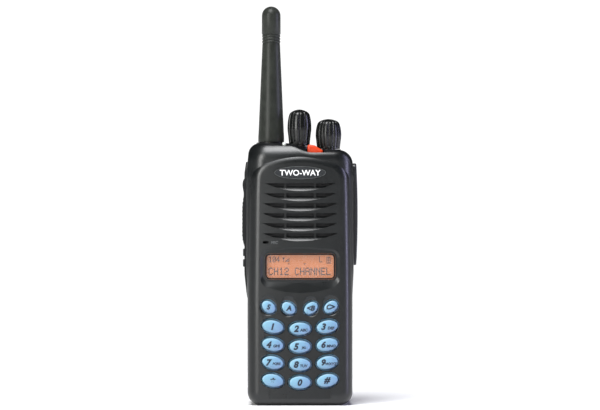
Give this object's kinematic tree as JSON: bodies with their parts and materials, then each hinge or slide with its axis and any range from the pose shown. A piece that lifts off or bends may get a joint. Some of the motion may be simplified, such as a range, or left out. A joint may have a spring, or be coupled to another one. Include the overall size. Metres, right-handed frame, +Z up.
{
  "type": "two way radio",
  "caption": "Handheld two-way radio with stub antenna, selector and volume knobs, talk bar, side keys, louvred speaker front, amber display, oval keypad and rear battery pack.",
  "frame": {"origin": "on the standing surface, in the middle of the whole radio's plan", "axes": "+Z up, along the antenna; -Y out of the keypad and speaker front; +X towards the accessory connector's side, away from the talk bar"},
  "size_m": [0.0601, 0.038, 0.208],
  "materials": {
    "case_plastic": "fine satin moulding",
    "dark_plastic": "satin moulding",
    "case_metal": "painted die casting",
    "rubber_black": "matt rubber",
    "steel": "plated",
    "antenna_rubber": "matt rubber",
    "nickel_brass": "plated brass",
    "knob_plastic": "satin moulding",
    "lens_plastic": "clear lamp lens",
    "orange_plastic": "coloured moulding",
    "dark_fabric": "fine screen cloth",
    "cone_paper": "coated paper",
    "aluminium_bright": "drawn can",
    "badge_metal": "satin anodised",
    "window_plastic": "clear hard-coated window",
    "display_amber": "amber back-lit display",
    "white_plastic": "reflector moulding",
    "key_rubber": "translucent silicone",
    "board_green": "solder mask",
    "cap_plastic": "satin moulding",
    "gold_contact": "gold plated",
    "pack_plastic": "textured moulding",
    "cell_film": "cell wrap"
  },
  "bodies": {
    "housing": {"front_case": "case_plastic", "chassis": "case_metal", "case_gasket": "rubber_black", "case_screws": "steel", "top_panel": "dark_plastic", "led_lens": "lens_plastic", "side_seal": "rubber_black", "speaker_screen": "dark_fabric", "speaker_frame": "steel", "speaker_cone": "cone_paper", "microphone": "aluminium_bright", "badge_plate": "badge_metal", "display_window": "window_plastic", "display_panel": "display_amber", "display_holder": "white_plastic", "key_mat": "key_rubber", "control_board": "board_green", "main_board": "board_green", "antenna_socket": "nickel_brass", "selector_switch": "steel", "volume_switch": "steel", "control_nuts": "nickel_brass", "tact_switches": "dark_plastic", "accessory_socket": "dark_plastic", "terminal_block": "dark_plastic", "battery_terminals": "gold_contact"},
    "antenna": {"antenna_sheath": "antenna_rubber", "antenna_stud": "nickel_brass", "antenna_coil": "nickel_brass"},
    "selector": {"selector_knob": "knob_plastic", "selector_shaft": "steel"},
    "volume": {"volume_knob": "knob_plastic", "volume_shaft": "steel"},
    "orange_key": {"orange_key": "orange_plastic"},
    "ptt_bar": {"ptt_bar": "rubber_black"},
    "side_key_upper": {"side_key_upper": "rubber_black"},
    "side_key_lower": {"side_key_lower": "rubber_black"},
    "connector_cap": {"connector_cap": "cap_plastic"},
    "cap_screw": {"cap_screw": "steel"},
    "battery": {"battery_case": "pack_plastic", "battery_cover": "pack_plastic", "battery_cells": "cell_film", "battery_contacts": "gold_contact"},
    "battery_latch": {"battery_latch": "dark_plastic"},
    "key_s": {"key_s": "key_rubber"},
    "key_a": {"key_a": "key_rubber"},
    "key_b": {"key_b": "key_rubber"},
    "key_c": {"key_c": "key_rubber"},
    "key_1": {"key_1": "key_rubber"},
    "key_2": {"key_2": "key_rubber"},
    "key_3": {"key_3": "key_rubber"},
    "key_4": {"key_4": "key_rubber"},
    "key_5": {"key_5": "key_rubber"},
    "key_6": {"key_6": "key_rubber"},
    "key_7": {"key_7": "key_rubber"},
    "key_8": {"key_8": "key_rubber"},
    "key_9": {"key_9": "key_rubber"},
    "key_star": {"key_star": "key_rubber"},
    "key_0": {"key_0": "key_rubber"},
    "key_hash": {"key_hash": "key_rubber"}
  },
  "joints": [
    {"name": "antenna_thread", "type": "hinge", "parent": "housing", "child": "antenna", "pos_m": [-0.0151, 0.003, 0.14], "axis": [0, 0, 1], "continuous": true},
    {"name": "selector_turn", "type": "hinge", "parent": "housing", "child": "selector", "pos_m": [-0.0003, 0.001, 0.14], "axis": [0, 0, -1], "continuous": true},
    {"name": "volume_turn", "type": "hinge", "parent": "housing", "child": "volume", "pos_m": [0.0149, 0.001, 0.14], "axis": [0, 0, -1], "range_deg": [0, 280]},
    {"name": "orange_key_press", "type": "slide", "parent": "housing", "child": "orange_key", "axis": [0, 0, -1], "range_m": [0, 0.0006], "stiffness_N_per_m": 1000, "springref_m": -0.0003},
    {"name": "ptt_bar_press", "type": "slide", "parent": "housing", "child": "ptt_bar", "axis": [1, 0, 0], "range_m": [0, 0.0008], "stiffness_N_per_m": 1500, "springref_m": -0.0003},
    {"name": "side_key_upper_press", "type": "slide", "parent": "housing", "child": "side_key_upper", "axis": [1, 0, 0], "range_m": [0, 0.0006], "stiffness_N_per_m": 1000, "springref_m": -0.0003},
    {"name": "side_key_lower_press", "type": "slide", "parent": "housing", "child": "side_key_lower", "axis": [1, 0, 0], "range_m": [0, 0.0006], "stiffness_N_per_m": 1000, "springref_m": -0.0003},
    {"name": "cap_lift", "type": "slide", "parent": "housing", "child": "connector_cap", "axis": [1, 0, 0], "range_m": [0, 0.009]},
    {"name": "cap_screw_turn", "type": "hinge", "parent": "connector_cap", "child": "cap_screw", "pos_m": [0.029, -0.0042, 0.079], "axis": [1, 0, 0], "continuous": true},
    {"name": "battery_swing", "type": "hinge", "parent": "housing", "child": "battery", "pos_m": [0, 0.0069, 0.09835], "axis": [1, 0, 0], "range_deg": [0, 6]},
    {"name": "latch_slide", "type": "slide", "parent": "battery", "child": "battery_latch", "axis": [0, 0, 1], "range_m": [0, 0.0015], "stiffness_N_per_m": 700, "springref_m": -0.0006},
    {"name": "key_s_press", "type": "slide", "parent": "housing", "child": "key_s", "axis": [0, 1, 0], "range_m": [0, 0.0007], "stiffness_N_per_m": 1000, "springref_m": -0.0003},
    {"name": "key_a_press", "type": "slide", "parent": "housing", "child": "key_a", "axis": [0, 1, 0], "range_m": [0, 0.0007], "stiffness_N_per_m": 1000, "springref_m": -0.0003},
    {"name": "key_b_press", "type": "slide", "parent": "housing", "child": "key_b", "axis": [0, 1, 0], "range_m": [0, 0.0007], "stiffness_N_per_m": 1000, "springref_m": -0.0003},
    {"name": "key_c_press", "type": "slide", "parent": "housing", "child": "key_c", "axis": [0, 1, 0], "range_m": [0, 0.0007], "stiffness_N_per_m": 1000, "springref_m": -0.0003},
    {"name": "key_1_press", "type": "slide", "parent": "housing", "child": "key_1", "axis": [0, 1, 0], "range_m": [0, 0.0007], "stiffness_N_per_m": 1000, "springref_m": -0.0003},
    {"name": "key_2_press", "type": "slide", "parent": "housing", "child": "key_2", "axis": [0, 1, 0], "range_m": [0, 0.0007], "stiffness_N_per_m": 1000, "springref_m": -0.0003},
    {"name": "key_3_press", "type": "slide", "parent": "housing", "child": "key_3", "axis": [0, 1, 0], "range_m": [0, 0.0007], "stiffness_N_per_m": 1000, "springref_m": -0.0003},
    {"name": "key_4_press", "type": "slide", "parent": "housing", "child": "key_4", "axis": [0, 1, 0], "range_m": [0, 0.0007], "stiffness_N_per_m": 1000, "springref_m": -0.0003},
    {"name": "key_5_press", "type": "slide", "parent": "housing", "child": "key_5", "axis": [0, 1, 0], "range_m": [0, 0.0007], "stiffness_N_per_m": 1000, "springref_m": -0.0003},
    {"name": "key_6_press", "type": "slide", "parent": "housing", "child": "key_6", "axis": [0, 1, 0], "range_m": [0, 0.0007], "stiffness_N_per_m": 1000, "springref_m": -0.0003},
    {"name": "key_7_press", "type": "slide", "parent": "housing", "child": "key_7", "axis": [0, 1, 0], "range_m": [0, 0.0007], "stiffness_N_per_m": 1000, "springref_m": -0.0003},
    {"name": "key_8_press", "type": "slide", "parent": "housing", "child": "key_8", "axis": [0, 1, 0], "range_m": [0, 0.0007], "stiffness_N_per_m": 1000, "springref_m": -0.0003},
    {"name": "key_9_press", "type": "slide", "parent": "housing", "child": "key_9", "axis": [0, 1, 0], "range_m": [0, 0.0007], "stiffness_N_per_m": 1000, "springref_m": -0.0003},
    {"name": "key_star_press", "type": "slide", "parent": "housing", "child": "key_star", "axis": [0, 1, 0], "range_m": [0, 0.0007], "stiffness_N_per_m": 1000, "springref_m": -0.0003},
    {"name": "key_0_press", "type": "slide", "parent": "housing", "child": "key_0", "axis": [0, 1, 0], "range_m": [0, 0.0007], "stiffness_N_per_m": 1000, "springref_m": -0.0003},
    {"name": "key_hash_press", "type": "slide", "parent": "housing", "child": "key_hash", "axis": [0, 1, 0], "range_m": [0, 0.0007], "stiffness_N_per_m": 1000, "springref_m": -0.0003}
  ]
}
